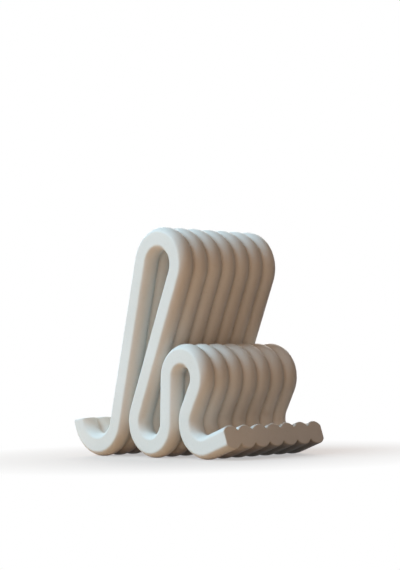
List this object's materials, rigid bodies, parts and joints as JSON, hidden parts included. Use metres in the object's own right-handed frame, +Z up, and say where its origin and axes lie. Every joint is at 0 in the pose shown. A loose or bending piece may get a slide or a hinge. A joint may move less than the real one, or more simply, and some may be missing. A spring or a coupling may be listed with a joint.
{
  "type": "desktop phone stand",
  "caption": "Desk stand moulded as one ribbed ribbon folded into a wave: a front lip and tray hold a phone's edge, a tall crest props its back, and a low crest and tail steady it.",
  "frame": {"origin": "midway between the front of the lip and the end of the tail, on the surface the stand rests on", "axes": "+X across the ribs, +Y from the lip to the tail, +Z up"},
  "size_m": [0.056, 0.1006, 0.0963],
  "materials": {
    "body": "smooth matte off-white"
  },
  "bodies": {
    "root": {"wave_stand": "body"}
  },
  "joints": []
}
